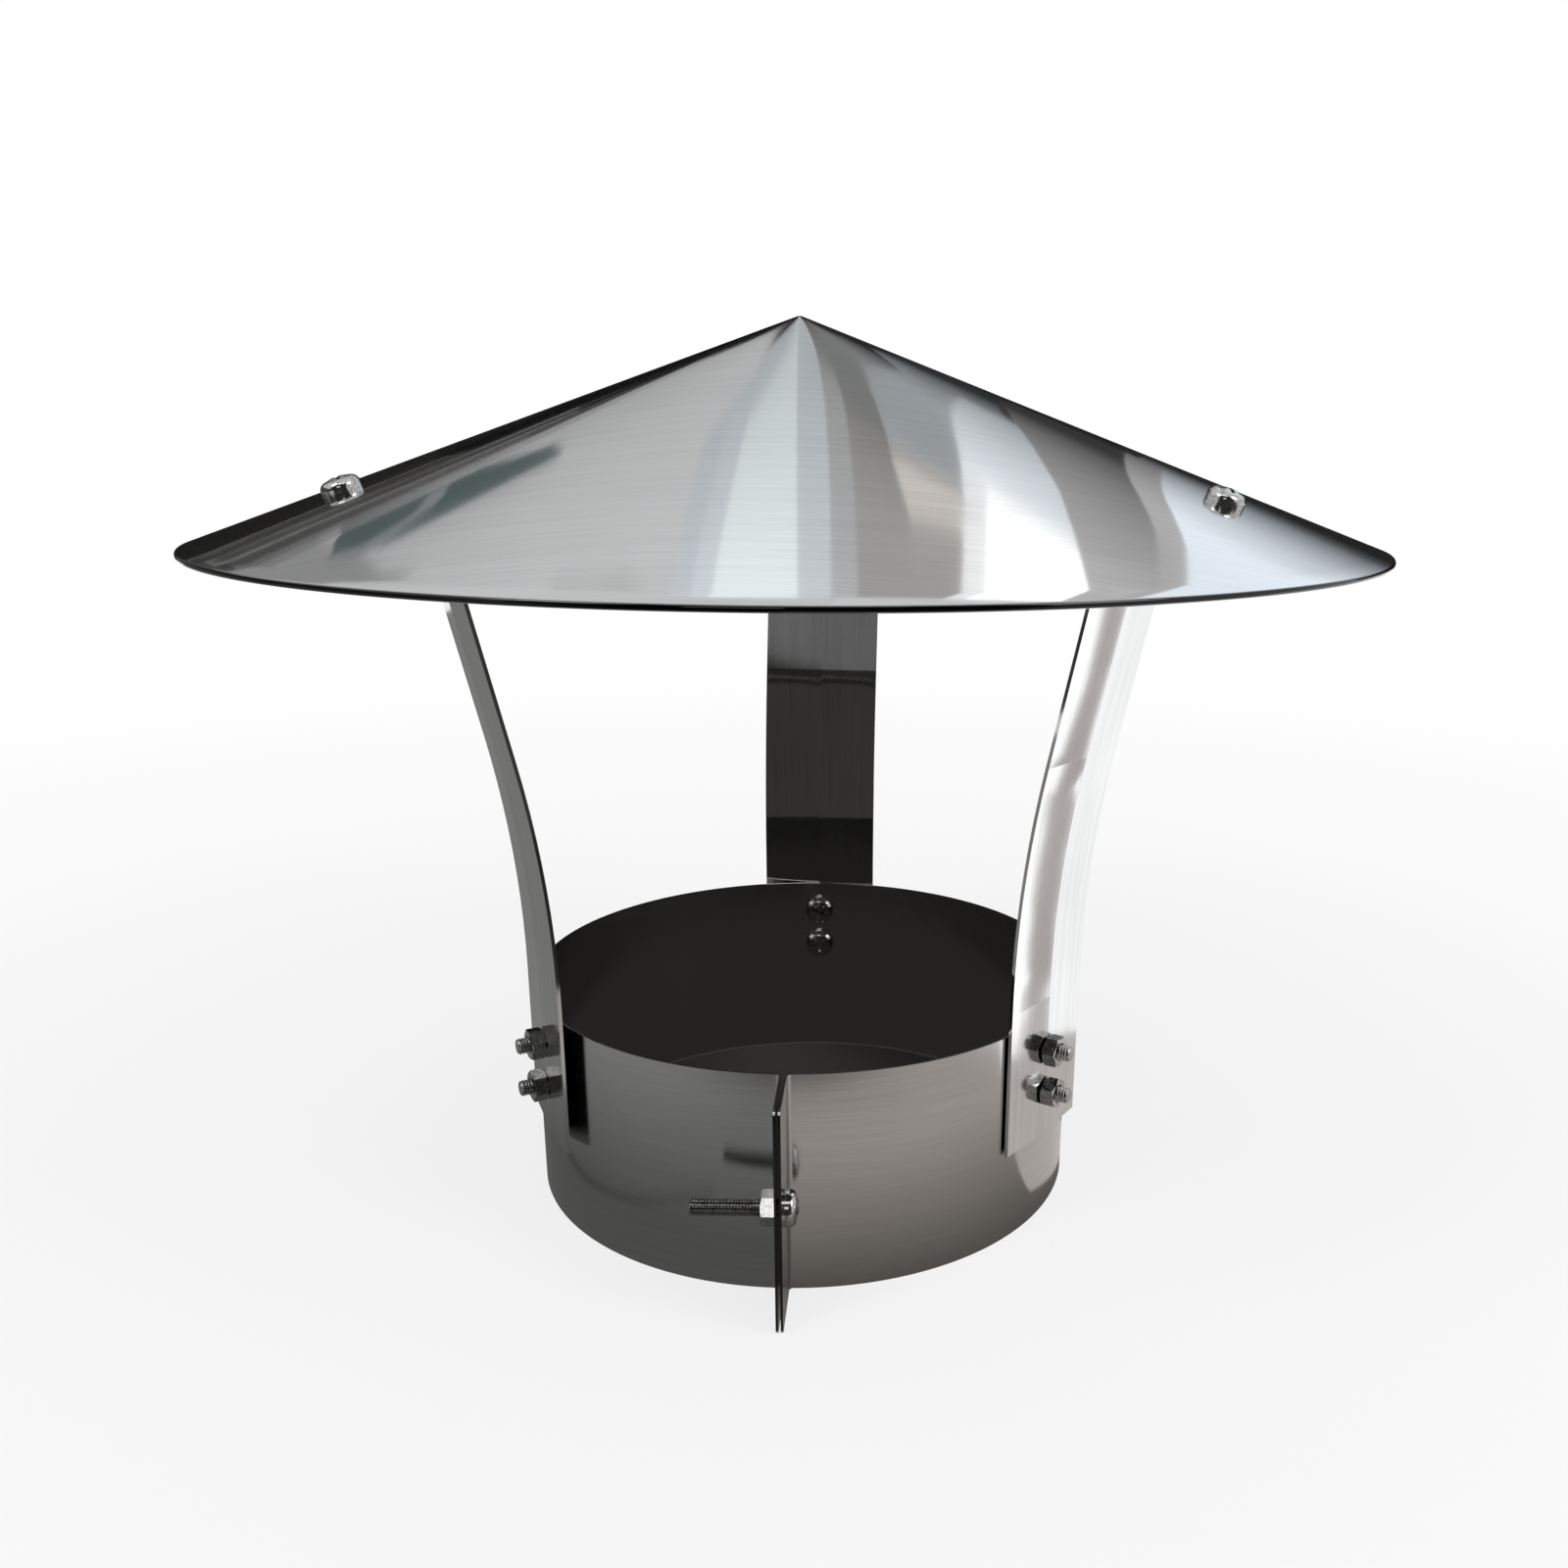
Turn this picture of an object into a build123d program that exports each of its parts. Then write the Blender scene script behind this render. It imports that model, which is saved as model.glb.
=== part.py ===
# A rain cap for a round chimney flue, in stainless sheet. A split collar clamps round the flue,
# three straps rise from it, and a shallow cone on top keeps the rain out.
# Lengths are millimetres and angles are degrees. Z points up, the collar's lower edge is at z = 0,
# the flue's axis is the Z axis, and the clamp ears point along -Y.
from build123d import *
from math import atan2, cos, degrees, hypot, radians, sin, sqrt, tan
import os

# Collar: one strip rolled to a ring, its two ends turned out as clamp ears
flue_r = 100.0  # inside of the ring, for a flue 200 mm across
collar_sheet = 0.8
collar_height = 78.0
ear_reach = 26.0  # from the outside of the ring to the edge of an ear
ear_gap = 0.8  # between the two ears, with the clamp drawn up
ear_bend_r = 1.5  # inside of the bend at the root of an ear
ear_corner_r = 2.0
clamp_reach = 15.0  # from the outside of the ring to the axis of the clamp screw
clamp_z = 39.0

# Hat: a cone with a lap seam up its back and its rim folded under
hat_r = 198.5  # over the folded rim
hat_slope = 20.2  # fall of the cone from the level
hat_sheet = 0.8
rim_z = 235.0  # lowest point of the rim
hem_width = 9.0  # how far the folded edge reaches back under the cone
hem_gap = 0.4  # left inside the fold
tip_r = 2.5  # rounding of the peak
seam_lap = 14.0  # width of the strip where the sheet's ends overlap
seam_turn = 35.0  # place of the seam, counted from the rear strap towards the left one
seam_start_r = 12.0  # the overlap runs out this far from the peak
seam_chamfer = 0.6

# Straps: flat strip with a lengthwise crease, flaring up to a tab under the cone
strap_turns = {"rear": 0.0, "left": 120.0, "right": -120.0}
strap_width = 48.0
strap_sheet = 1.2
strap_foot_z = 33.5
crease = 2.4  # how far each half of the strip is folded back
strap_skew = 4.0  # turn of a blade about the line of its screws, so that one edge stands off the collar
flare_start_z = 86.0
flare_r = 400.0
flare_lean = 12.5  # how far the upper part of a strap leans outwards
crease_runout = 30.0  # stretch below the bend over which the crease flattens and the skew is undone
tab_bend_r = 3.0  # inside of the bend between strap and tab
tab_end = 12.0  # from the hat screw to the end of the tab
tab_corner_r = 6.0
strap_clearance = 0.02  # between a strap and the collar, where they are nearest
tab_clearance = 0.05  # between the tab's edges and the underside of the cone
hat_screw_reach = 21.7  # along the tab, from its bend to the screw through the cone
strap_screw_z = 50.0  # the lower of the two screws at each strap's foot
strap_screw_pitch = 16.0

# Fasteners: M6 screws with a pan head and cross recess, and plain hexagon nuts
screw_r = 2.95  # over the crests of the thread
screw_hole_r = 3.3
nut_bore_clearance = 0.1
strap_screw_length = 12.0
hat_screw_length = 16.0
clamp_screw_length = 30.0
screw_point = 0.7  # chamfer at the end of the thread
head_r = 6.0
head_side = 1.25  # straight part of the head's side
head_round_r = 2.4  # rounding from the side into the crown
head_round_turn = 60.0  # how far round it goes
recess_width = 6.8
recess_wing = 1.5
recess_depth = 2.8
recess_taper = 6.0
nut_flats = 10.0
nut_height = 5.0
nut_chamfer = 30.0  # slope of the turned corners on a nut's outer face
fastener_turn_step = 23.0  # from one tightened nut or head to the next, so that no two point alike
clamp_nut_turn = 30.0  # turns one of its flats upwards

cut_past = 1.0  # how far a cutter runs past the sheet it cuts

collar_outer_r = flue_r + collar_sheet
strap_screw_heights = (strap_screw_z, strap_screw_z + strap_screw_pitch)
ear_face_x = ear_gap / 2 + collar_sheet
nut_bore_r = screw_r + nut_bore_clearance
nut_corner_r = nut_flats / 2 / cos(radians(30))
head_edge_r = head_r - head_round_r
crown_r = head_edge_r / cos(radians(head_round_turn)) + head_round_r
crown_centre_z = head_edge_r * tan(radians(head_round_turn)) - head_side
head_height = crown_r - crown_centre_z

# The cone's outer surface falls from peak_z at the axis, square to cone_normal in a radial plane
slope = radians(hat_slope)
fold_r = hat_sheet + hem_gap / 2
fold_centre = Vector(hat_r - fold_r, rim_z + fold_r)
cone_normal = Vector(sin(slope), cos(slope))
cone_fall = Vector(cos(slope), -sin(slope))
rim_top = fold_centre + cone_normal * fold_r
peak_z = rim_top.Y + rim_top.X * tan(slope)

# The crest of a strap's inner face runs along these points in its radial plane, X outwards and Y up.
# The flank that the skew turns inwards touches the round collar, so the crest stands a little way off it.
strap_line_r = collar_outer_r / cos(radians(crease + strap_skew)) + strap_clearance
lean = radians(flare_lean)
lean_way = Vector(sin(lean), cos(lean))
flare_knee = Vector(strap_line_r, flare_start_z + flare_r * tan(lean / 2))


def strap_meets(depth):
    """Point where the leaning inner face of a strap reaches this depth below the cone's outer surface."""
    level = peak_z * cos(slope) - depth
    rise = (level - flare_knee.dot(cone_normal)) / lean_way.dot(cone_normal)
    return flare_knee + lean_way * rise


# A flat tab touches the round underside of the cone with its two edges, so its middle lies lower
tab_root_r = strap_meets(hat_sheet).X
tab_gap = (hypot(tab_root_r, strap_width / 2) - tab_root_r) * sin(slope) + tab_clearance
tab_depth = hat_sheet + tab_gap
tab_knee = strap_meets(tab_depth)
tab_bend_outer_r = tab_bend_r + strap_sheet
tab_tangent = tab_bend_outer_r * tan(radians(90 - flare_lean + hat_slope) / 2)
bend_start = tab_knee - lean_way * tab_tangent
runout_start = bend_start - lean_way * crease_runout
hat_screw_foot = tab_knee + cone_fall * hat_screw_reach
hat_screw_top = hat_screw_foot + cone_normal * tab_depth
tab_tip = hat_screw_foot + cone_fall * tab_end


# A nut bears on the crest of the crease, or on the other flank once the skew turns that one outwards
nut_lift = nut_corner_r * tan(radians(max(strap_skew - crease, 0)))
strap_face_r = strap_line_r + strap_sheet / cos(radians(crease)) + nut_lift
head_seat_r = sqrt(flue_r**2 - head_r**2)  # a flat head touches the round wall with two sides of its rim


def radial(turn, height):
    """Frame whose Z axis points outwards from the flue's axis, at a strap's turn and a height."""
    return Rot(0, 0, turn) * Pos(0, 0, height) * Rot(-90, 0, 0)


def through_cone(turn):
    """Frame on the cone's outer surface at a hat screw, its Z axis pointing down through the sheet."""
    return Rot(0, 0, turn) * Pos(0, hat_screw_top.X, hat_screw_top.Y) * Rot(180 - hat_slope, 0, 0)


def across_ears():
    """Frame on the right ear's outer face, its Z axis pointing through both ears."""
    return Pos(ear_face_x, -(collar_outer_r + clamp_reach), clamp_z) * Rot(0, -90, 0)


def hole(start, end):
    """Cutter for a screw hole along Z, running past both faces of what it cuts."""
    return extrude(Pos(0, 0, start - cut_past) * Circle(screw_hole_r), end - start + 2 * cut_past)


def make_collar():
    """Ring and both ears, as one bent strip."""
    bend_x = ear_face_x + ear_bend_r
    bend_y = -sqrt((collar_outer_r + ear_bend_r) ** 2 - bend_x**2)
    root = degrees(atan2(bend_y, bend_x))
    ear_y = -(collar_outer_r + ear_reach)
    with BuildSketch() as plan:
        with BuildLine():
            CenterArc((0, 0), collar_outer_r, root, 180 - 2 * root)
            CenterArc((0, 0), flue_r, root, 180 - 2 * root)
            with BuildLine(mode=Mode.PRIVATE) as side:
                CenterArc((bend_x, bend_y), ear_bend_r, 180 + root, -root)
                Polyline((ear_face_x, bend_y), (ear_face_x, ear_y), (ear_gap / 2, ear_y))
                Line((ear_gap / 2, ear_y), (ear_gap / 2, bend_y))
                CenterArc((bend_x, bend_y), ear_bend_r + collar_sheet, 180 + root, -root)
            add(side.line)
            add(mirror(side.line, about=Plane.YZ))
        make_face()
    band = extrude(plan.sketch, collar_height)
    band = fillet(band.edges().filter_by(Axis.X).group_by(Axis.Y)[0], ear_corner_r)
    for turn in strap_turns.values():
        for height in strap_screw_heights:
            band -= radial(turn, height) * hole(head_seat_r, collar_outer_r)
    return band - across_ears() * hole(0, 2 * ear_face_x)


def make_hat():
    """Cone turned about the flue's axis, with its folded rim, lap seam and screw holes."""
    tip_centre = Vector(0, peak_z - tip_r / cos(slope))
    tip_inner_r = tip_r - hat_sheet
    upper = 90 - hat_slope
    hem_end = fold_centre - cone_normal * fold_r - cone_fall * hem_width
    fold_inner_r = fold_r - hat_sheet
    with BuildSketch(Plane.XZ) as profile:
        with BuildLine():
            CenterArc(tip_centre, tip_r, 90, -hat_slope)
            Line(tip_centre + cone_normal * tip_r, rim_top)
            CenterArc(fold_centre, fold_r, upper, -180)
            Polyline(
                fold_centre - cone_normal * fold_r,
                hem_end,
                hem_end + cone_normal * hat_sheet,
                fold_centre - cone_normal * fold_inner_r,
            )
            CenterArc(fold_centre, fold_inner_r, upper, -180)
            Line(fold_centre + cone_normal * fold_inner_r, tip_centre + cone_normal * tip_inner_r)
            CenterArc(tip_centre, tip_inner_r, 90, -hat_slope)
            Line(tip_centre + Vector(0, tip_inner_r), tip_centre + Vector(0, tip_r))
        make_face()
    cone = revolve(profile.sketch, Axis.Z)
    cone += make_seam()
    for turn in strap_turns.values():
        cone -= through_cone(turn) * hole(0, tab_depth)
    return cone


def make_seam():
    """Strip of the outer end of the sheet, lying over the inner end."""
    start = Vector(seam_start_r, peak_z - seam_start_r * tan(slope))
    lift = cone_normal * hat_sheet
    with BuildSketch(Plane.XZ) as profile:
        with BuildLine():
            Polyline(start, rim_top, rim_top + lift, start + lift, close=True)
        make_face()
    layer = revolve(profile.sketch, Axis.Z)
    strip = layer & Box(seam_lap, hat_r, peak_z, align=(Align.CENTER, Align.MIN, Align.MIN))
    long_edges = strip.edges().sort_by(Edge.length)[-4:].group_by(Axis.X)[-1]
    blend = long_edges.sort_by(Axis.Z)[-1]
    return Rot(0, 0, seam_turn) * chamfer(blend, seam_chamfer)


def strap_section(at, way, fold):
    """Cross-section of a strap, square to its run, with each half folded back by an angle."""
    half = strap_width / 2
    back = -half * tan(radians(fold))
    thick = strap_sheet / cos(radians(fold))
    plane = Plane(origin=(0, at.X, at.Y), x_dir=(1, 0, 0), z_dir=(0, way.X, way.Y))
    points = [(-half, back), (0, 0), (half, back), (half, back + thick), (0, thick), (-half, back + thick)]
    return plane * make_face(Polyline(*points, close=True))


def in_radial_plane(*points):
    """The same points in the YZ plane, where a strap is built."""
    return [Vector(0, point.X, point.Y) for point in points]


def make_strap():
    """One strap at the rear: skewed and creased blade, its run-out, and the bend with its flat tab."""
    up = Vector(0, 1)
    foot = Vector(strap_line_r, strap_foot_z)
    skewed = Pos(0, strap_line_r, 0) * Rot(0, 0, -strap_skew) * Pos(0, -strap_line_r, 0)
    blade_path = FilletPolyline(*in_radial_plane(foot, flare_knee, runout_start), radius=flare_r)
    blade = skewed * sweep(strap_section(foot, up, crease), blade_path)
    ends = [skewed * strap_section(runout_start, lean_way, crease), strap_section(bend_start, lean_way, 0)]
    runout = loft(ends, ruled=True)
    tab_path = FilletPolyline(*in_radial_plane(runout_start, tab_knee, tab_tip), radius=tab_bend_outer_r)
    tab_path = tab_path.trim(crease_runout / tab_path.length, 1)
    tab = sweep(strap_section(bend_start, lean_way, 0), tab_path)
    tab_corners = tab.edges().filter_by(lambda edge: edge.length < 2 * strap_sheet).group_by(Axis.Y)[-1]
    tab = fillet(tab_corners, tab_corner_r)
    strap = blade + runout + tab
    for height in strap_screw_heights:
        strap -= radial(0, height) * hole(strap_line_r, strap_face_r)
    return strap - through_cone(0) * hole(tab_depth, tab_depth + strap_sheet)


def recess_cross(inset):
    """Outline of a screw's cross recess, with all its sides moved in by an inset."""
    width = recess_width - 2 * inset
    wing = recess_wing - 2 * inset
    return Rectangle(width, wing) + Rectangle(wing, width)


def make_screw(length):
    """Pan-head screw, the seat of its head at z = 0 and its thread along Z."""
    with BuildSketch(Plane.XZ) as profile:
        with BuildLine():
            Polyline((0, -head_height), (0, length), (screw_r - screw_point, length))
            Polyline((screw_r - screw_point, length), (screw_r, length - screw_point), (screw_r, 0))
            Polyline((screw_r, 0), (head_r, 0), (head_r, -head_side))
            CenterArc((head_edge_r, -head_side), head_round_r, 0, -head_round_turn)
            CenterArc((0, crown_centre_z), crown_r, -head_round_turn, head_round_turn - 90)
        make_face()
    screw = revolve(profile.sketch, Axis.Z)
    floor_inset = recess_depth * tan(radians(recess_taper))
    recess = loft([recess_cross(0), Pos(0, 0, recess_depth) * recess_cross(floor_inset)], ruled=True)
    return screw - Pos(0, 0, -head_height) * recess


def make_nut():
    """Plain hexagon nut, its seat at z = 0, with the corners of its outer face turned off."""
    drop = (nut_corner_r - nut_flats / 2) * tan(radians(nut_chamfer))
    prism = extrude(RegularPolygon(nut_flats / 2, 6, major_radius=False), nut_height)
    with BuildSketch(Plane.XZ) as profile:
        with BuildLine():
            Polyline(
                (nut_bore_r, 0),
                (nut_corner_r, 0),
                (nut_corner_r, nut_height - drop),
                (nut_flats / 2, nut_height),
                (nut_bore_r, nut_height),
                close=True,
            )
        make_face()
    return prism & revolve(profile.sketch, Axis.Z)


parts = {"hat": make_hat(), "collar_band": make_collar()}

strap = make_strap()
strap_screw = make_screw(strap_screw_length)
hat_screw = make_screw(hat_screw_length)
nut = make_nut()
placed = 0
for side, turn in strap_turns.items():
    parts[f"{side}_strap"] = Rot(0, 0, turn) * strap
    for level, height in zip(("lower", "upper"), strap_screw_heights):
        axis = radial(turn, height)
        turned = Rot(0, 0, placed * fastener_turn_step)
        parts[f"{side}_strap_screw_{level}"] = axis * Pos(0, 0, head_seat_r) * turned * strap_screw
        parts[f"{side}_strap_nut_{level}"] = axis * Pos(0, 0, strap_face_r) * turned * nut
        placed += 1
    axis = through_cone(turn)
    parts[f"{side}_hat_screw"] = axis * Rot(0, 0, placed * fastener_turn_step) * hat_screw
    parts[f"{side}_hat_nut"] = axis * Pos(0, 0, tab_depth + strap_sheet) * nut
parts["clamp_screw"] = across_ears() * make_screw(clamp_screw_length)
parts["clamp_nut"] = across_ears() * Pos(0, 0, 2 * ear_face_x) * Rot(0, 0, clamp_nut_turn) * nut

os.makedirs("parts", exist_ok=True)
for name, piece in parts.items():
    export_step(piece, f"parts/{name}.step")
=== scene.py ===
import bpy
from math import cos, radians, sin, tan
from mathutils import Matrix


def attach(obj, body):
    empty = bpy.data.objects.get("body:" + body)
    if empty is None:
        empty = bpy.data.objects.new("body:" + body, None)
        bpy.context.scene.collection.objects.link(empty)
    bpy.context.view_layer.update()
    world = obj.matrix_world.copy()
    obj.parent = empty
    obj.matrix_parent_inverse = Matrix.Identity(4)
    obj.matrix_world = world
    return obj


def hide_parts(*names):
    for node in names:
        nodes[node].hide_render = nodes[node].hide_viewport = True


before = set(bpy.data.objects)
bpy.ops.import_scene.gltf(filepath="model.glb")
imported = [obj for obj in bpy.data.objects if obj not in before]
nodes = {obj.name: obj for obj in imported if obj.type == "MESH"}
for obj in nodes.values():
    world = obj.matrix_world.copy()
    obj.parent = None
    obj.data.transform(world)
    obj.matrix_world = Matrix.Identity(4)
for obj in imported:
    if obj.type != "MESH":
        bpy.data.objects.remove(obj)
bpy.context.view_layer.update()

bpy.ops.object.select_all(action="DESELECT")
print("frame loaded:", len(nodes), "pieces")

mm = 0.001
sameHeight = 0.01  # millimetres within which two heights count as one
white = (1.0, 1.0, 1.0)
coneSlope = 20.2  # degrees, of the hat


def turned(angle, axis="Z"):
    return Matrix.Rotation(radians(angle), 4, axis)


def moved(x, y, z):
    return Matrix.Translation((x * mm, y * mm, z * mm))


# Modelling helpers. Small pieces are modelled in millimetres and brought to metres when they are placed.


def active(obj):
    bpy.ops.object.select_all(action="DESELECT")
    obj.select_set(True)
    bpy.context.view_layer.objects.active = obj


def added():
    # the primitive that was just added, with its place and turn put into its mesh
    obj = bpy.context.object
    bpy.ops.object.transform_apply()
    return obj


def applyModifier(obj, kind, **values):
    active(obj)
    mod = obj.modifiers.new(kind.lower(), kind)
    for key, value in values.items():
        setattr(mod, key, value)
    bpy.ops.object.modifier_apply(modifier=mod.name)


def softenEdges(obj, width, angle):
    applyModifier(obj, "BEVEL", width=width, segments=2, limit_method="ANGLE", angle_limit=radians(angle))


def cutWith(obj, tool, operation="DIFFERENCE"):
    applyModifier(obj, "BOOLEAN", object=tool, operation=operation, solver="EXACT")
    bpy.data.objects.remove(tool)


def pick(obj, kind, test):
    # leaves obj in edit mode with only the items that pass the test selected
    active(obj)
    bpy.ops.object.mode_set(mode="EDIT")
    bpy.ops.mesh.select_mode(type=kind)
    bpy.ops.mesh.select_all(action="DESELECT")
    bpy.ops.object.mode_set(mode="OBJECT")
    items = {"VERT": obj.data.vertices, "EDGE": obj.data.edges, "FACE": obj.data.polygons}[kind]
    for item in items:
        item.select = test(item)
    bpy.ops.object.mode_set(mode="EDIT")


def everything(item):
    return True


def edgeAt(obj, z):
    # test for edges that lie at one height
    spots = obj.data.vertices
    return lambda edge: all(abs(spots[i].co.z - z) < sameHeight for i in edge.vertices)


def done():
    bpy.ops.object.mode_set(mode="OBJECT")


def freshNormals(obj):
    active(obj)
    bpy.ops.object.mode_set(mode="EDIT")
    bpy.ops.mesh.select_all(action="SELECT")
    bpy.ops.mesh.remove_doubles(threshold=0.0005)
    bpy.ops.mesh.normals_make_consistent(inside=False)
    done()


def joined(first, second):
    active(first)
    second.select_set(True)
    bpy.ops.object.join()
    return bpy.context.object


def dress(piece, finish, smoothAngle):
    piece.data.materials.clear()
    piece.data.materials.append(finishes[finish])
    active(piece)
    bpy.ops.object.shade_smooth_by_angle(angle=radians(smoothAngle))


# Camera, where the photograph was taken from
cameraSet = {
    "place": (0.03634169, -0.51970528, 0.2750675),
    "turn": (72.516242, -0.71461319, 0.30213126),
    "lens": 33.2021,
    "sensor": 36,
    "shift": (-0.07312, 0.06144),
    "clip": (0.01, 40),
}
cameraData = bpy.data.cameras.new("camera")
cameraData.sensor_width = cameraSet["sensor"]
cameraData.lens = cameraSet["lens"]
cameraData.shift_x, cameraData.shift_y = cameraSet["shift"]
cameraData.clip_start, cameraData.clip_end = cameraSet["clip"]
camera = bpy.data.objects.new("camera", cameraData)
camera.location = cameraSet["place"]
camera.rotation_euler = [radians(angle) for angle in cameraSet["turn"]]
bpy.context.scene.collection.objects.link(camera)
bpy.context.scene.camera = camera
print("camera placed")

# Material helpers. Each one adds a node to the tree and gives back its result.


def emptyMaterial(name):
    mat = bpy.data.materials.new(name)
    mat.use_nodes = True
    tree = mat.node_tree
    tree.nodes.clear()
    return mat, tree, tree.nodes.new("ShaderNodeOutputMaterial")


def metal(name):
    mat, tree, out = emptyMaterial(name)
    shader = tree.nodes.new("ShaderNodeBsdfPrincipled")
    shader.inputs["Metallic"].default_value = 1
    tree.links.new(shader.outputs["BSDF"], out.inputs["Surface"])
    return mat, tree, shader


def feed(tree, socket, value):
    # a socket gets a number or a triple as its own value, and anything else as a link
    if isinstance(value, (int, float, tuple)):
        socket.default_value = value
    elif value is not None:
        tree.links.new(value, socket)


def maths(tree, operation, a, b=None):
    node = tree.nodes.new("ShaderNodeMath")
    node.operation = operation
    for socket, value in zip(node.inputs, (a, b)):
        feed(tree, socket, value)
    return node.outputs[0]


def vectorMaths(tree, operation, a, b=None, scale=None):
    node = tree.nodes.new("ShaderNodeVectorMath")
    node.operation = operation
    for socket, value in zip(node.inputs, (a, b)):
        feed(tree, socket, value)
    if scale is not None:
        feed(tree, node.inputs["Scale"], scale)
    return node.outputs["Value" if operation == "LENGTH" else "Vector"]


def combine(tree, x, y, z):
    node = tree.nodes.new("ShaderNodeCombineXYZ")
    for socket, value in zip(node.inputs, (x, y, z)):
        feed(tree, socket, value)
    return node.outputs[0]


def noise(tree, vector, scale=1.0, detail=2.0):
    node = tree.nodes.new("ShaderNodeTexNoise")
    node.inputs["Scale"].default_value = scale
    node.inputs["Detail"].default_value = detail
    tree.links.new(vector, node.inputs["Vector"])
    return node.outputs["Fac"]


def spread(tree, value, low, high, toLow, toHigh, smooth=False):
    node = tree.nodes.new("ShaderNodeMapRange")
    node.interpolation_type = "SMOOTHSTEP" if smooth else "LINEAR"
    for socket, number in zip(node.inputs[1:5], (low, high, toLow, toHigh)):
        socket.default_value = number
    tree.links.new(value, node.inputs[0])
    return node.outputs[0]


def blendColour(tree, share, first, second):
    node = tree.nodes.new("ShaderNodeMix")
    node.data_type = "RGBA"
    for socket, value in ((node.inputs[6], first), (node.inputs[7], second)):
        feed(tree, socket, (*value, 1) if isinstance(value, tuple) else value)
    tree.links.new(share, node.inputs[0])
    return node.outputs[2]


def bump(tree, height, depth, normal=None):
    node = tree.nodes.new("ShaderNodeBump")
    node.inputs["Strength"].default_value = 1
    node.inputs["Distance"].default_value = depth
    tree.links.new(height, node.inputs["Height"])
    feed(tree, node.inputs["Normal"], normal)
    return node.outputs["Normal"]


def placeOn(tree):
    # where a point is: its parts, its angle round the flue (0 at the front) and its distance from the axis
    coord = tree.nodes.new("ShaderNodeTexCoord")
    split = tree.nodes.new("ShaderNodeSeparateXYZ")
    tree.links.new(coord.outputs["Object"], split.inputs[0])
    x, y, z = split.outputs
    flat = combine(tree, x, y, 0.0)
    angle = maths(tree, "ARCTAN2", x, maths(tree, "MULTIPLY", y, -1.0))
    return {"flat": flat, "y": y, "z": z, "angle": angle, "radius": vectorMaths(tree, "LENGTH", flat)}


def tint(tree, shader, share, colour):
    # lays a second colour over the base colour
    base = shader.inputs["Base Color"].links[0].from_socket
    tree.links.new(blendColour(tree, share, base, colour), shader.inputs["Base Color"])


# Brushed grain of all sheets: each layer's stretch along the grain, its repeat across it, and its own slice of noise
grainSet = {
    "fine": (28.0, 1900.0, 0.0),
    "wide": (9.0, 330.0, 4.0),
    "cloud": (14.0, 20.0, 9.0),
    "fineShare": 0.6,
    "streakShare": 0.7,
    "tones": (0.3, 0.7),  # the noise at the darkest and at the lightest tone
}


def grainLayer(tree, along, across, layer):
    stretch, repeat, part = grainSet[layer]
    along = maths(tree, "MULTIPLY", along, stretch)
    across = maths(tree, "MULTIPLY", across, repeat)
    return noise(tree, combine(tree, along, across, part))


def shared(tree, first, second, share):
    return maths(tree, "ADD", maths(tree, "MULTIPLY", first, share), maths(tree, "MULTIPLY", second, 1 - share))


def brushed(tree, shader, along, across, look):
    # grain lines run in the direction of along; look holds what the user would change
    fine, wide, cloud = (grainLayer(tree, along, across, layer) for layer in ("fine", "wide", "cloud"))
    streaks = shared(tree, fine, wide, grainSet["fineShare"])
    tone = shared(tree, streaks, cloud, grainSet["streakShare"])
    low, high = grainSet["tones"]
    smooth, rough = look["rough"]
    colour = blendColour(tree, spread(tree, tone, low, high, 0.0, 1.0), look["dark"], look["light"])
    tree.links.new(colour, shader.inputs["Base Color"])
    tree.links.new(spread(tree, tone, low, high, rough, smooth), shader.inputs["Roughness"])
    shader.inputs["Anisotropic"].default_value = look["anisotropy"]
    return bump(tree, streaks, look["grainDepth"])


# The hat's sheet was brushed while it was flat, so its grain is straight on the unrolled cone
hatLook = {
    "dark": (0.55, 0.56, 0.565),
    "light": (0.69, 0.695, 0.70),
    "rough": (0.055, 0.085),
    "anisotropy": 0.75,
    "grainDepth": 0.0000025,
    "rollDepth": 0.0005,  # height of the flats that the rolls left in the sheet
    "rolls": (9.0, 1.0, 2.0),  # how often they come round the hat and along its slope, and their slice of noise
    "rollsAt": -1.5,  # the angle, in radians, where they are deepest
    "rollsEnd": (0.3, 1.1),  # they fade between these angles from there
    "rollsLeast": 0.06,
    "rollsFull": 0.15,  # distance from the axis where they have their full height
    "fold": (0.1979, 0.1983),  # from here outwards the fold's crest is painted near-black: painted shade along the rim
    "crest": (0.03, 0.03, 0.03),
}


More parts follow.
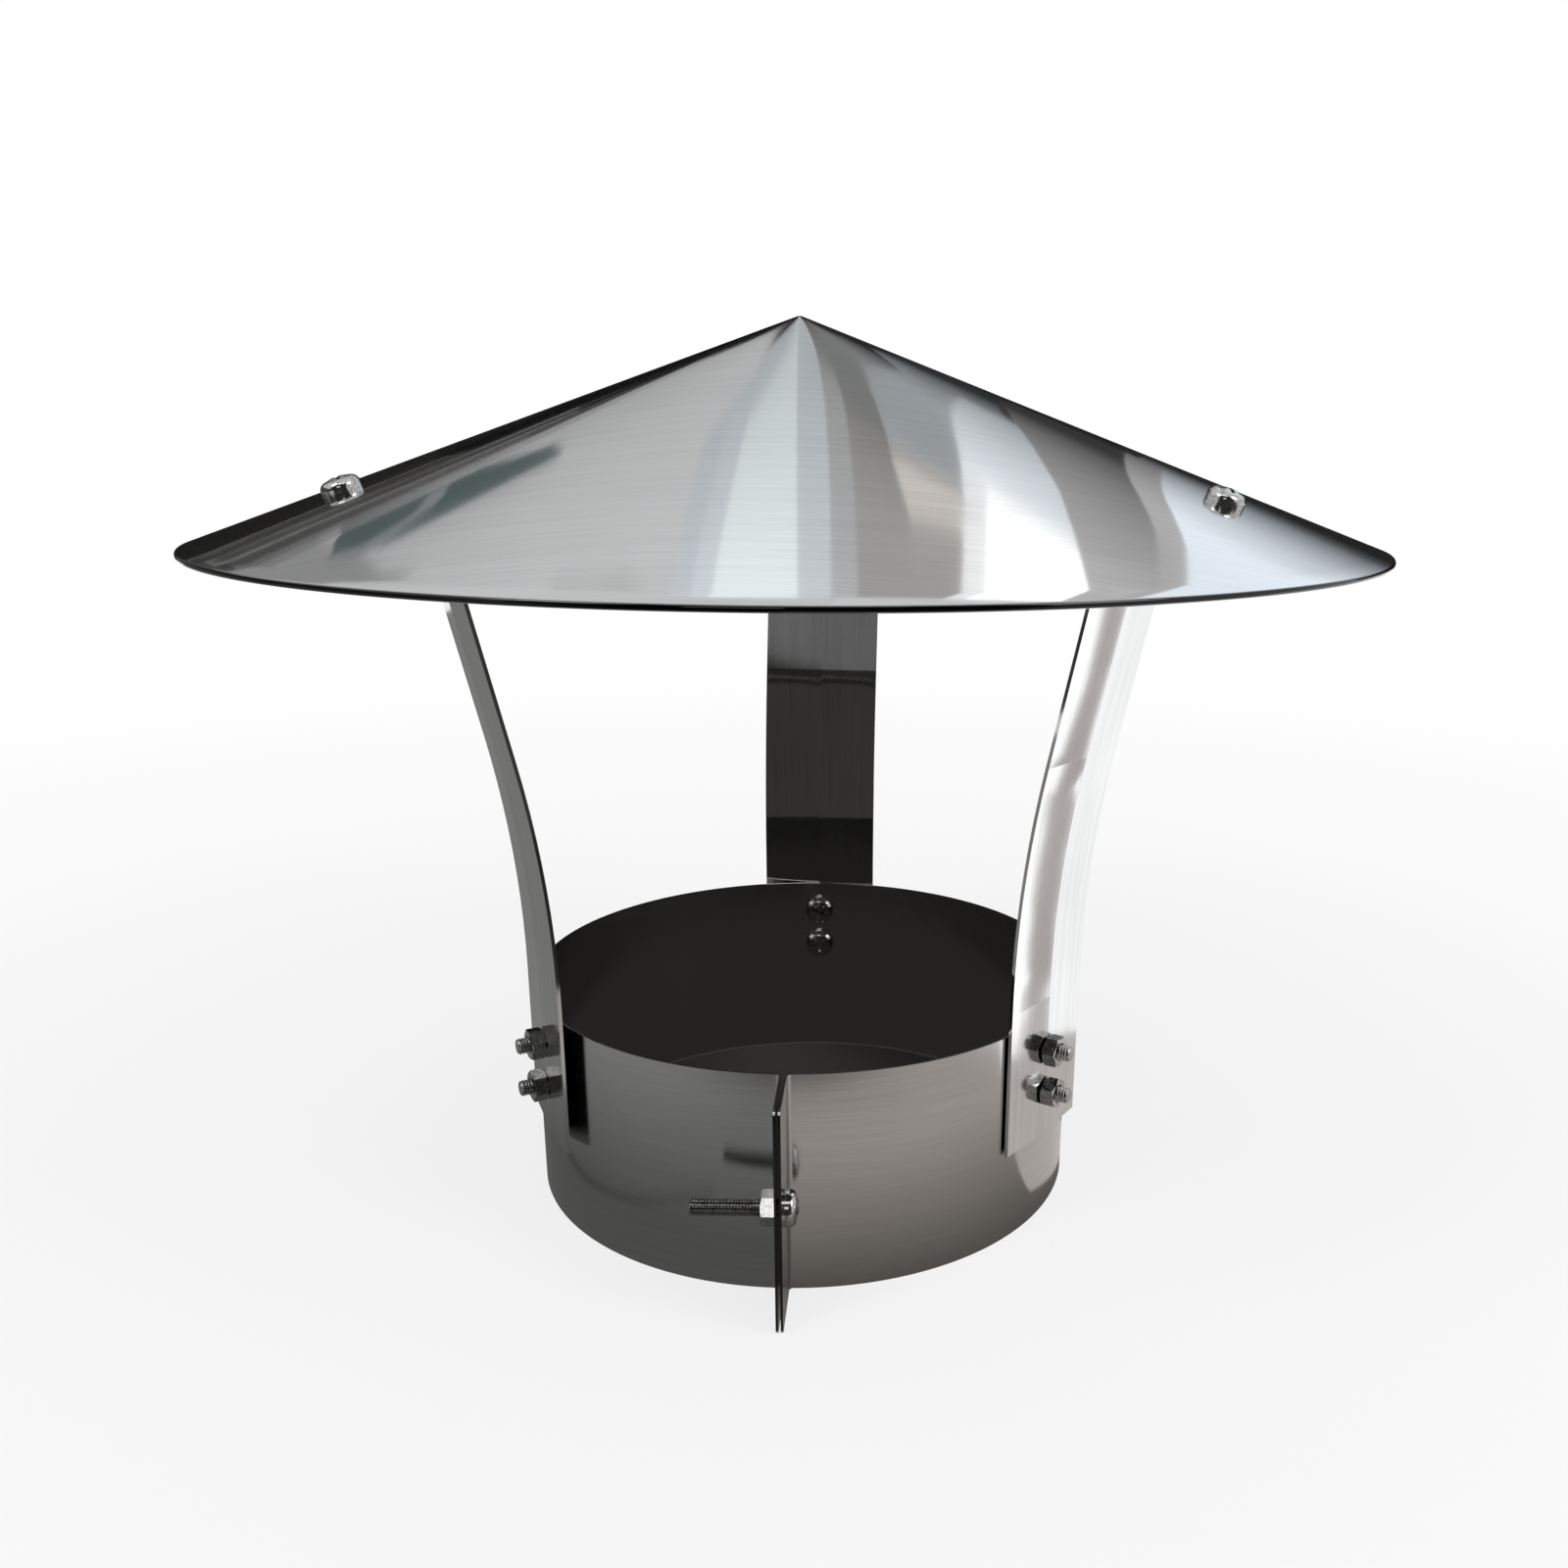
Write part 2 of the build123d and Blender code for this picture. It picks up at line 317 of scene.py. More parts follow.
def hatSteel():
    mat, tree, shader = metal("brushed hat steel")
    at = placeOn(tree)
    slope = radians(coneSlope)
    unrolled = maths(tree, "MULTIPLY", at["angle"], cos(slope))
    slant = maths(tree, "DIVIDE", at["radius"], cos(slope))
    sine = maths(tree, "SINE", unrolled)
    cosine = maths(tree, "COSINE", unrolled)
    along = maths(tree, "MULTIPLY", slant, sine)
    across = maths(tree, "MULTIPLY", slant, cosine)
    grain = brushed(tree, shader, along, across, hatLook)
    # shallow flats along the lines of the cone, deepest on the left
    often, down, part = hatLook["rolls"]
    flats = combine(tree, maths(tree, "MULTIPLY", at["angle"], often), maths(tree, "MULTIPLY", slant, down), part)
    away = maths(tree, "ABSOLUTE", maths(tree, "SUBTRACT", at["angle"], hatLook["rollsAt"]))
    leftShare = spread(tree, away, *hatLook["rollsEnd"], 1.0, hatLook["rollsLeast"], smooth=True)
    height = maths(tree, "MULTIPLY", noise(tree, flats, detail=1.0), leftShare)
    height = maths(tree, "MULTIPLY", height, maths(tree, "DIVIDE", at["radius"], hatLook["rollsFull"]))
    tree.links.new(bump(tree, height, hatLook["rollDepth"], grain), shader.inputs["Normal"])
    # painted shade: the crest of the folded rim is painted near-black, a painted dark line along the rim
    tint(tree, shader, spread(tree, at["radius"], *hatLook["fold"], 0.0, 1.0), hatLook["crest"])
    # highlights stretch square to the grain
    sideways = vectorMaths(tree, "CROSS_PRODUCT", (0.0, 0.0, 1.0), at["flat"])
    sideways = vectorMaths(tree, "NORMALIZE", sideways)
    geometry = tree.nodes.new("ShaderNodeNewGeometry")
    downhill = vectorMaths(tree, "CROSS_PRODUCT", sideways, geometry.outputs["Normal"])
    stretch = vectorMaths(
        tree,
        "SUBTRACT",
        vectorMaths(tree, "SCALE", sideways, scale=sine),
        vectorMaths(tree, "SCALE", downhill, scale=cosine),
    )
    tree.links.new(stretch, shader.inputs["Tangent"])
    return mat


collarLook = {
    "radius": 0.1,
    "dark": (0.50, 0.50, 0.50),
    "light": (0.60, 0.595, 0.59),
    "rough": (0.13, 0.19),
    "anisotropy": 0.6,
    "grainDepth": 0.000003,
    "earEdge": 126.75,  # from the flue's axis to the cut edge of an ear
    # painted shade on the ears' cut edges
    "paintedEdgeShade": (0.06, 0.055, 0.05),
}


def collarSteel():
    mat, tree, shader = metal("brushed collar steel")
    at = placeOn(tree)
    # the grain runs round the ring, and out along the ears
    along = maths(tree, "ADD", maths(tree, "MULTIPLY", at["angle"], collarLook["radius"]), at["radius"])
    tree.links.new(brushed(tree, shader, along, at["z"], collarLook), shader.inputs["Normal"])
    tree.links.new(combine(tree, 0.0, 0.0, 1.0), shader.inputs["Tangent"])
    # a cut edge is darker than the face, and the near-black here is painted shade for the dark floor that the ears'
    # sheared edges mirror
    tint(tree, shader, maths(tree, "LESS_THAN", at["y"], -collarLook["earEdge"] * mm), collarLook["paintedEdgeShade"])
    return mat


strapLook = {
    "radius": 0.11,
    "dark": (0.49, 0.49, 0.485),
    "light": (0.73, 0.73, 0.725),
    "rough": (0.04, 0.06),
    "anisotropy": 0.3,
    "grainDepth": 0.000001,
    "foot": (0.07, 0.10, 2.4),  # the foot is duller up to these heights, this many times
}


def strapSteel():
    mat, tree, shader = metal("brushed strap steel")
    at = placeOn(tree)
    across = maths(tree, "MULTIPLY", at["angle"], strapLook["radius"])
    normal = brushed(tree, shader, at["z"], across, strapLook)
    low, high, times = strapLook["foot"]
    rough = shader.inputs["Roughness"].links[0].from_socket
    duller = maths(tree, "MULTIPLY", rough, spread(tree, at["z"], low, high, times, 1.0))
    tree.links.new(duller, shader.inputs["Roughness"])
    tree.links.new(normal, shader.inputs["Normal"])
    tangent = tree.nodes.new("ShaderNodeTangent")
    tangent.direction_type = "RADIAL"
    tangent.axis = "Z"
    tree.links.new(tangent.outputs[0], shader.inputs["Tangent"])
    return mat


fastenerLook = {
    "dark": (0.30, 0.30, 0.295),
    "light": (0.52, 0.52, 0.51),
    "tones": (0.35, 0.65),
    "rough": (0.10, 0.18),
    "roughTones": (0.3, 0.7),
    "grain": 900.0,
    "detail": 3.0,
    "grainDepth": 0.000004,
}


def fastenerSteel():
    mat, tree, shader = metal("bright fastener steel")
    look = fastenerLook
    coord = tree.nodes.new("ShaderNodeTexCoord")
    grain = noise(tree, coord.outputs["Object"], look["grain"], look["detail"])
    tone = spread(tree, grain, *look["tones"], 0.0, 1.0)
    tree.links.new(blendColour(tree, tone, look["dark"], look["light"]), shader.inputs["Base Color"])
    tree.links.new(spread(tree, grain, *look["roughTones"], *look["rough"]), shader.inputs["Roughness"])
    tree.links.new(bump(tree, grain, look["grainDepth"]), shader.inputs["Normal"])
    return mat


finishes = {
    "hat_steel": hatSteel(),
    "collar_steel": collarSteel(),
    "strap_steel": strapSteel(),
    "fastener_steel": fastenerSteel(),
}
sheetFinish = {
    "collar_band": "collar_steel",
    "rear_strap": "strap_steel",
    "left_strap": "strap_steel",
    "right_strap": "strap_steel",
}
for name, finish in sheetFinish.items():
    for slot in nodes[name].material_slots:
        slot.material = finishes[finish]
print("sheet finishes set")

# Hat: a line from the peak to the folded rim and back, spun round the flue's axis, with a lap seam on it
hatSet = {
    "rim": 198.5,  # over the folded rim
    "rimHeight": 235.0,
    "sheet": 0.8,
    "hem": 9.0,
    "hemGap": 0.4,
    "tip": 2.5,
    "tipSteps": (4, 3),  # over and under the sheet
    "slopeSteps": 40,
    "foldSteps": (12, 6),
    "steps": 288,
    "smooth": 30,
    "seamTurn": 35.0,  # from the rear strap towards the left one
    "seamWidth": 14.0,
    "seamStart": 12.0,
    "seamArc": (80, 60, 130),  # spun angle, its steps, and the turn that brings its middle to the rear
    "seamBox": (110, 270, 240, 160),  # what is kept of it: middle (y, z) and size (y, z)
    "seamEdge": (0.25, 60),  # width of its soft edges, and from which angle on
}


def drawLine(points):
    # a chain of edges in the XZ plane, extruded from point to point
    bpy.ops.object.select_all(action="DESELECT")
    bpy.ops.mesh.primitive_plane_add(size=1)
    line = bpy.context.object
    bpy.ops.object.mode_set(mode="EDIT")
    bpy.ops.mesh.merge(type="CENTER")
    x, z = points[0]
    bpy.ops.transform.translate(value=(x, 0, z))
    for nextX, nextZ in points[1:]:
        bpy.ops.mesh.extrude_region_move(TRANSFORM_OT_translate={"value": (nextX - x, 0, nextZ - z)})
        x, z = nextX, nextZ
    done()
    return line


def stepped(point, direction, distance):
    return (point[0] + direction[0] * distance, point[1] + direction[1] * distance)


def arc(centre, radius, start, turn, steps):
    angles = [radians(start + turn * i / steps) for i in range(steps + 1)]
    return [(centre[0] + radius * cos(angle), centre[1] + radius * sin(angle)) for angle in angles]


def spinRound(line, angle, steps):
    pick(line, "VERT", everything)
    bpy.ops.mesh.spin(steps=steps, angle=radians(angle), center=(0, 0, 0), axis=(0, 0, 1))
    done()
    freshNormals(line)


def makeHat():
    angle, sheet, tip = coneSlope, hatSet["sheet"], hatSet["tip"]
    slope = radians(angle)
    normal = (sin(slope), cos(slope))
    downhill = (cos(slope), -sin(slope))
    fold = sheet + hatSet["hemGap"] / 2
    foldCentre = (hatSet["rim"] - fold, hatSet["rimHeight"] + fold)
    rimTop = stepped(foldCentre, normal, fold)
    hemEnd = stepped(stepped(foldCentre, normal, -fold), downhill, -hatSet["hem"])
    peak = rimTop[1] + rimTop[0] * tan(slope)
    tipCentre = (0, peak - tip / cos(slope))
    tipOver, tipUnder = hatSet["tipSteps"]
    foldOver, foldUnder = hatSet["foldSteps"]
    points = arc(tipCentre, tip, 90, -angle, tipOver)
    slopeStart, count = points[-1], hatSet["slopeSteps"]
    way = (rimTop[0] - slopeStart[0], rimTop[1] - slopeStart[1])
    points += [stepped(slopeStart, way, i / count) for i in range(1, count)]
    points += arc(foldCentre, fold, 90 - angle, -180, foldOver)
    points += [hemEnd, stepped(hemEnd, normal, sheet)]
    points += arc(foldCentre, fold - sheet, -90 - angle, 180, foldUnder)
    points += arc(tipCentre, tip - sheet, 90 - angle, angle, tipUnder)
    for end in (0, -1):
        points[end] = (0, points[end][1])  # both ends lie on the axis
    hat = drawLine(points)
    spinRound(hat, 360, hatSet["steps"])
    seamStart = (hatSet["seamStart"], peak - hatSet["seamStart"] * tan(slope))
    hat = joined(hat, makeSeam([seamStart, rimTop], normal, sheet))
    hat.name = "hat_sheet"
    hat.data.transform(Matrix.Scale(mm, 4))
    dress(hat, "hat_steel", hatSet["smooth"])
    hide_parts("hat")
    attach(hat, "cap")


def makeSeam(under, normal, sheet):
    # a second layer of sheet on the slope, spun further than needed and cut to the width of the lap
    over = [stepped(point, normal, sheet) for point in reversed(under)]
    seam = drawLine([*under, *over, under[0]])
    angle, steps, turn = hatSet["seamArc"]
    spinRound(seam, angle, steps)
    pick(seam, "VERT", everything)
    bpy.ops.mesh.fill_holes(sides=0)
    done()
    freshNormals(seam)
    seam.data.transform(turned(turn))  # a spin runs clockwise
    y, z, deep, high = hatSet["seamBox"]
    bpy.ops.mesh.primitive_cube_add(size=1, location=(0, y, z), scale=(hatSet["seamWidth"], deep, high))
    cutWith(seam, added(), "INTERSECT")
    softenEdges(seam, *hatSet["seamEdge"])
    seam.data.transform(turned(hatSet["seamTurn"]))
    return seam


makeHat()
print("hat made")

# Screws and nuts, M6
threadSet = {
    "pitch": 1.0,
    "crest": 2.95,
    "depth": 0.58,
    "steps": 20,
    "point": 0.7,
    "overlap": 0.5,  # how far the thread reaches into the head
    "sides": 48,
    "play": 0.02,  # between the crests and the cylinder that trims the point
}


def makeThread(length):
    pitch, crest, depth, steps = (threadSet[key] for key in ("pitch", "crest", "depth", "steps"))
    # one tooth of the thread, run up the rod by a screw modifier
    bpy.ops.mesh.primitive_circle_add(vertices=4, radius=pitch / 2, rotation=(radians(90), 0, 0))
    rod = added()
    pick(rod, "VERT", lambda vert: vert.co.x < -pitch / 4)
    bpy.ops.mesh.delete(type="VERT")
    bpy.ops.mesh.select_all(action="SELECT")
    bpy.ops.transform.resize(value=(depth / (pitch / 2), 1, 1))
    bpy.ops.transform.translate(value=(crest - depth, 0, -pitch))
    done()
    turns = int(length / pitch) + 3
    applyModifier(
        rod, "SCREW", screw_offset=pitch, iterations=turns, steps=steps, render_steps=steps, use_smooth_shade=False
    )
    freshNormals(rod)
    for height, side in ((-threadSet["overlap"], "clear_inner"), (length, "clear_outer")):
        pick(rod, "VERT", everything)
        bpy.ops.mesh.bisect(plane_co=(0, 0, height), plane_no=(0, 0, 1), use_fill=True, **{side: True})
        done()
    freshNormals(rod)
    spare = 2  # the cylinder starts this far below the seat, so it trims only the point
    bpy.ops.mesh.primitive_cylinder_add(
        vertices=threadSet["sides"],
        radius=crest + threadSet["play"],
        depth=length + spare,
        location=(0, 0, (length - spare) / 2),
    )
    shell = added()
    pick(shell, "EDGE", edgeAt(shell, length))
    bpy.ops.mesh.bevel(offset=threadSet["point"], segments=1)
    done()
    cutWith(rod, shell, "INTERSECT")
    return rod


headSet = {
    "radius": 6.0,
    "sides": 64,
    "rise": 3.95,
    "round": 2.4,
    "roundSteps": 8,
    "crown": 0.64,
    "crownSteps": (0.5, 0.32, 0.18),  # shares of the crown from the rim to the middle
    "crownInset": 0.3,  # of the flat top's radius, at each step
    "cross": (6.8, 1.5),
    "crossDepth": 2.8,
    "crossDraft": 0.6,  # by how much the recess is narrower at its floor
    "edge": (0.1, 40),
}


def makeHead():
    # the head lies below its seat, with its top at the lowest point
    radius, rise, rounding = (headSet[key] for key in ("radius", "rise", "round"))
    bpy.ops.mesh.primitive_cylinder_add(
        vertices=headSet["sides"], radius=radius, depth=rise, location=(0, 0, -rise / 2)
    )
    head = added()
    pick(head, "EDGE", edgeAt(head, -rise))
    bpy.ops.mesh.bevel(offset=rounding, segments=headSet["roundSteps"])
    done()
    pick(head, "FACE", lambda face: face.center.z < -rise + sameHeight)
    for share in headSet["crownSteps"]:
        bpy.ops.mesh.inset(thickness=(radius - rounding) * headSet["crownInset"])
        bpy.ops.transform.translate(value=(0, 0, -headSet["crown"] * share))
    done()
    deep, draft = headSet["crossDepth"], headSet["crossDraft"]
    floor = deep - rise - headSet["crown"]
    above = 1  # the tool starts this far outside the head
    for wide, tall in (headSet["cross"], headSet["cross"][::-1]):
        middle = (0, 0, floor - (deep + above) / 2)
        bpy.ops.mesh.primitive_cube_add(size=1, location=middle, scale=(wide, tall, deep + above))
        tool = added()
        pick(tool, "FACE", lambda face: face.center.z > floor - sameHeight)
        narrower = ((wide - draft) / wide, (tall - draft) / tall, 1)
        bpy.ops.transform.resize(value=narrower, center_override=(0, 0, floor))
        done()
        cutWith(head, tool)
    softenEdges(head, *headSet["edge"])
    return head


def makeScrew(length):
    head = makeHead()
    return joined(head, makeThread(length))


nutSet = {
    "flats": 10.0,
    "height": 5.0,
    "bore": 3.05,
    "sides": (64, 40),  # of the cones that chamfer it, and of the bore
    "slope": 30.0,  # of the chamfered corners
    "sink": (0.5, 0.9),  # countersinks: how much wider than the bore, and the depth of their cone
    "edge": (0.1, 25),
}


def makeNut():
    height, bore = nutSet["height"], nutSet["bore"]
    middle = (0, 0, height / 2)
    flat = nutSet["flats"] / 2
    bpy.ops.mesh.primitive_cylinder_add(
        vertices=6, radius=flat / cos(radians(30)), depth=height, location=middle, rotation=(0, 0, radians(90))
    )
    nut = added()
    outer, inner = nutSet["sides"]
    wide = flat + height / tan(radians(nutSet["slope"]))
    for low, high in ((flat, wide), (wide, flat)):
        bpy.ops.mesh.primitive_cone_add(
            vertices=outer, radius1=low, radius2=high, depth=height + 0.001, location=middle
        )
        cutWith(nut, bpy.context.object, "INTERSECT")
    bpy.ops.mesh.primitive_cylinder_add(vertices=inner, radius=bore, depth=height * 2, location=middle)
    cutWith(nut, bpy.context.object)
    wider, deep = nutSet["sink"]
    for end, low, high in ((0, bore + wider, bore), (height, bore, bore + wider)):
        bpy.ops.mesh.primitive_cone_add(vertices=inner, radius1=low, radius2=high, depth=deep, location=(0, 0, end))
        cutWith(nut, bpy.context.object)
    softenEdges(nut, *nutSet["edge"])
    return nut


# Where the fasteners sit, in millimetres and degrees
fixSet = {
    "turns": {"rear": 0, "left": 120, "right": -120},
    "heights": {"lower": 50.0, "upper": 66.0},
    "headSeat": 99.8198,  # heads, from the flue's axis
    "nutSeat": 102.8145,
    "hatScrew": (151.25, 254.082),  # distance from the axis and height, on top of the cone
    "hatNut": 2.8057,  # below that point
    "clamp": (1.2, -115.8, 39.0),
    "clampNut": 2.4,
    "clampNutTurn": 30.0,
    "step": 23.0,  # each screw is turned this much further than the one before
    "lengths": {"strap": 12.0, "hat": 16.0, "clamp": 30.0},
    "smooth": 32,
}


def put(pattern, name, matrix, node, body):
    # a copy of the pattern for one CAD node, with its place in its own mesh
    piece = bpy.data.objects.new(name, pattern.data.copy())
    bpy.context.scene.collection.objects.link(piece)
    piece.data.transform(matrix @ Matrix.Scale(mm, 4))
    dress(piece, "fastener_steel", fixSet["smooth"])
    applyModifier(piece, "WEIGHTED_NORMAL", weight=100, keep_sharp=True)  # keeps the flats flat beside soft edges
    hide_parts(node)
    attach(piece, body)


strapScrew, hatScrew, clampScrew = (makeScrew(length) for length in fixSet["lengths"].values())
nut = makeNut()
placed = 0
for side, turn in fixSet["turns"].items():
    for level, height in fixSet["heights"].items():
        axis = turned(turn) @ moved(0, 0, height) @ turned(-90, "X")
        spin = turned(placed * fixSet["step"])
        screwAt = axis @ moved(0, 0, fixSet["headSeat"]) @ spin
        put(strapScrew, f"{side}_{level}_screw", screwAt, f"{side}_strap_screw_{level}", "cap")
        nutAt = axis @ moved(0, 0, fixSet["nutSeat"]) @ spin
        put(nut, f"{side}_{level}_nut", nutAt, f"{side}_strap_nut_{level}", "cap")
        placed += 1
    distance, height = fixSet["hatScrew"]
    axis = turned(turn) @ moved(0, distance, height) @ turned(180 - coneSlope, "X")
    put(hatScrew, f"{side}_top_screw", axis @ turned(placed * fixSet["step"]), f"{side}_hat_screw", "cap")
    put(nut, f"{side}_top_nut", axis @ moved(0, 0, fixSet["hatNut"]), f"{side}_hat_nut", "cap")
axis = moved(*fixSet["clamp"]) @ turned(-90, "Y")
put(clampScrew, "clamp_bolt", axis, "clamp_screw", "clamp_screw")
clampNutAt = axis @ moved(0, 0, fixSet["clampNut"]) @ turned(fixSet["clampNutTurn"])
put(nut, "clamp_bolt_nut", clampNutAt, "clamp_nut", "clamp_nut")
for pattern in (strapScrew, hatScrew, clampScrew, nut):
    bpy.data.objects.remove(pattern)
print("fasteners made")

# Studio. Brushed steel shows what it mirrors, so flat panels stand where the photograph's room had its walls,
# windows and floor. Only glossy rays see them, as with a studio's flags and soft boxes.


def glowPanel(name, corners, colour, strength, faces=None):
    mesh = bpy.data.meshes.new(name)
    mesh.from_pydata(corners, [], faces or [tuple(range(len(corners)))])
    card = bpy.data.objects.new(name, mesh)
    bpy.context.scene.collection.objects.link(card)
    mat, tree, out = emptyMaterial(name)
    glow = tree.nodes.new("ShaderNodeEmission")
    glow.inputs["Color"].default_value = (*colour, 1)
    glow.inputs["Strength"].default_value = strength
    tree.links.new(glow.outputs[0], out.inputs["Surface"])
    mesh.materials.append(mat)
    card.visible_camera = False
    card.visible_diffuse = False
    card.visible_shadow = False
    card.visible_transmission = False
    return tree, glow


def rectangle(left, low, right, high):
    return [(left, low), (right, low), (right, high), (left, high)]


def wallPanel(name, y, colour, strength, corners):
    # an upright panel; corners are (x, z), and strength is a number or a fade of two (height, strength)
    corners = [(x, y, z) for x, z in corners]
    if isinstance(strength, tuple):
        (low, atLow), (high, atHigh) = strength
        tree, glow = glowPanel(name, corners, colour, atLow)
        fade = spread(tree, placeOn(tree)["z"], low, high, atLow, atHigh)
        tree.links.new(fade, glow.inputs["Strength"])
    else:
        glowPanel(name, corners, colour, strength)


cool, warm, dusk, pale = (0.90, 0.96, 1.0), (1, 0.96, 0.92), (1, 0.95, 0.9), (1, 0.98, 0.98)
windowShape = [(-0.13, 1.66), (-0.03, 1.66), (-0.03, 2.6), (-0.46, 2.6), (-0.40, 2.26)]
windowShape += [(-0.37, 2.11), (-0.34, 1.98), (-0.32, 1.85), (-0.25, 1.77)]
paneShape = [(0.29, 0.6), (0.50, 0.6), (0.63, 1.0), (0.77, 1.35), (0.87, 1.8)]
paneShape += [(0.99, 2.5), (0.82, 2.5), (0.72, 1.97), (0.59, 1.50), (0.42, 1.03)]


def aside(corners, distance):
    return [(x + distance, z) for x, z in corners]


# y, colour, strength (or its fade with height) and corners of each upright panel
wallSet = {
    "black ledge": (1.84, dusk, ((0.6, 0.014), (0.9, 0.06)), rectangle(-3, -0.6, 3, 0.90)),
    "dark ledge": (1.84, dusk, 0.05, rectangle(-3, 0.90, 3, 1.10)),
    "left wall": (1.84, white, ((1.1, 0.46), (2.15, 0.79)), rectangle(-3, 1.10, 0, 3.4)),
    "left column": (1.82, white, 0.34, [(-3, 1.10), (-1.26, 1.10), (-1.26, 1.60), (-1.20, 1.72), (-3, 1.72)]),
    "left shadow": (
        1.82,
        white,
        0.50,
        [(-0.94, 2.19), (-0.80, 2.22), (-0.62, 2.32), (-0.70, 2.22), (-0.90, 2.15)],
    ),
    "black corner": (
        1.80,
        white,
        0.005,
        [(-0.31, 1.60), (-0.36, 1.32), (-0.46, 1.12), (-0.62, 0.94), (-0.85, 0.85)]
        + [(-0.85, 0.60), (-0.20, 0.60), (-0.20, 1.60)],
    ),
    "ledge line 0": (
        1.81,
        white,
        0.30,
        [(-1.45, 1.04), (-1.1, 1.06), (-0.8, 1.05), (-0.8, 1.03), (-1.1, 1.035), (-1.45, 1.01)],
    ),
    "ledge line 1": (
        1.81,
        white,
        0.30,
        [(-1.45, 0.90), (-1.2, 0.92), (-1.0, 0.97), (-0.68, 0.97)]
        + [(-0.68, 0.94), (-1.0, 0.93), (-1.2, 0.875), (-1.45, 0.86)],
    ),
    "ledge line 2": (1.81, white, 0.30, [(-1.45, 0.70), (-0.7, 0.72), (-0.7, 0.705), (-1.45, 0.68)]),
    "green screen": (
        1.80,
        (0.7, 1.0, 0.93),
        0.125,
        [(-0.80, 1.44), (-0.80, 1.30), (-0.92, 1.14), (-1.20, 1.10), (-1.28, 1.28), (-1.20, 1.42)],
    ),
    "screen glint": (
        1.79,
        cool,
        0.30,
        [(-1.20, 1.40), (-1.05, 1.30), (-0.98, 1.16), (-1.02, 1.16), (-1.10, 1.28), (-1.24, 1.36)],
    ),
    "window": (1.8, (0.93, 1.0, 1.0), ((1.7, 0.74), (2.35, 1.32)), windowShape),
    "window frame": (1.81, cool, ((1.7, 0.60), (2.35, 1.04)), aside(windowShape, -0.07)),
    "window edge": (1.82, cool, ((1.7, 0.60), (2.35, 0.90)), aside(windowShape, -0.14)),
    "window side": (1.79, cool, ((1.65, 0.56), (2.35, 0.98)), rectangle(-0.14, 1.66, -0.03, 2.6)),
    "pillar": (
        1.79,
        white,
        ((1.05, 0.02), (1.4, 0.25)),
        [(-0.03, 0.6), (0.12, 0.6), (0.16, 1.0), (0.24, 1.22), (0.21, 1.36)]
        + [(0.16, 1.50), (0.15, 1.66), (0.17, 1.8), (-0.03, 1.8)],
    ),
    "pillar core": (
        1.78,
        white,
        0.02,
        [(-0.1, 0.6), (0.13, 0.6), (0.12, 1.2), (0.06, 1.4), (0.0, 1.56), (-0.1, 1.56)],
    ),
    "pillar top": (1.79, warm, ((1.85, 0.34), (2.1, 0.50)), rectangle(-0.03, 1.8, 0.38, 2.5)),
    "pillar edge": (
        1.78,
        white,
        ((1.7, 0.40), (2.4, 0.70)),
        [(-0.03, 1.7), (0.04, 1.7), (0.06, 2.5), (-0.03, 2.5)],
    ),
    "warm lamp": (1.78, (1.0, 0.93, 0.87), 0.86, [(0.17, 1.84), (0.38, 1.82), (0.38, 1.97), (0.22, 2.01)]),
    "big window": (
        1.78,
        white,
        ((1.65, 1.2), (1.95, 2.0)),
        [(0.37, 1.70), (0.64, 1.70), (0.72, 1.97), (0.82, 2.5), (0.37, 2.5)],
    ),
    "big window side": (
        1.77,
        white,
        ((1.65, 1.05), (2.0, 1.25)),
        [(0.37, 1.70), (0.43, 1.70), (0.44, 2.5), (0.37, 2.5)],
    ),
    "blue pane": (
        1.80,
        cool,
        ((0.85, 0.03), (1.4, 0.46)),
        [(0.10, 0.6), (0.29, 0.6), (0.40, 1.03), (0.44, 1.10), (0.40, 1.80), (0.10, 1.80)],
    ),
    "light pane": (
        1.79,
        cool,
        ((1.1, 0.44), (1.7, 1.15)),
        [(0.34, 1.10), (0.44, 1.08), (0.59, 1.50), (0.65, 1.72), (0.37, 1.72), (0.35, 1.40)],
    ),
    "grey pane": (1.77, pale, ((0.8, 0.04), (1.85, 0.68)), paneShape),
    "grey pane side": (1.78, pale, ((0.6, 0.14), (1.2, 0.60)), aside(paneShape, 0.07)),
    "blue wall": (
        1.80,
        (0.86, 0.93, 1.0),
        ((0.55, 0.06), (1.2, 1.30)),
        [(0.50, 0.5), (2.6, 0.5), (2.6, 2.5), (0.99, 2.5), (0.87, 1.8), (0.77, 1.35), (0.63, 1.0)],
    ),
    "high wall": (1.9, white, 0.85, rectangle(-3, 2.5, 3, 6)),
    "nut light": (-1.0, white, 2.2, rectangle(-0.25, 0.44, 0.02, 0.66)),
    "dark front": (-1.6, dusk, 0.05, rectangle(-1.6, -0.2, 1.6, 2.5)),
}
for name, panel in wallSet.items():
    wallPanel(name, *panel)
darkLeft = [(-1.5, -1.6, -0.1), (-1.5, 1.9, -0.1), (-1.5, 1.9, 1.0), (-1.5, -1.6, 0.5)]
glowPanel("dark left", darkLeft, (1, 1, 0.98), 0.10)
print("walls made")


def levelPanel(name, height, corners, colour=white, strength=1, fade=None, faces=None):
    # a level panel, height in millimetres; fade gives two (distance from the axis, colour)
    tree, glow = glowPanel(name, [(x, y, height * mm) for x, y in corners], colour, strength, faces)
    if fade is not None:
        (near, atNear), (far, atFar) = fade
        share = spread(tree, placeOn(tree)["radius"], near, far, 0.0, 1.0)
        tree.links.new(blendColour(tree, share, atNear, atFar), glow.inputs["Color"])


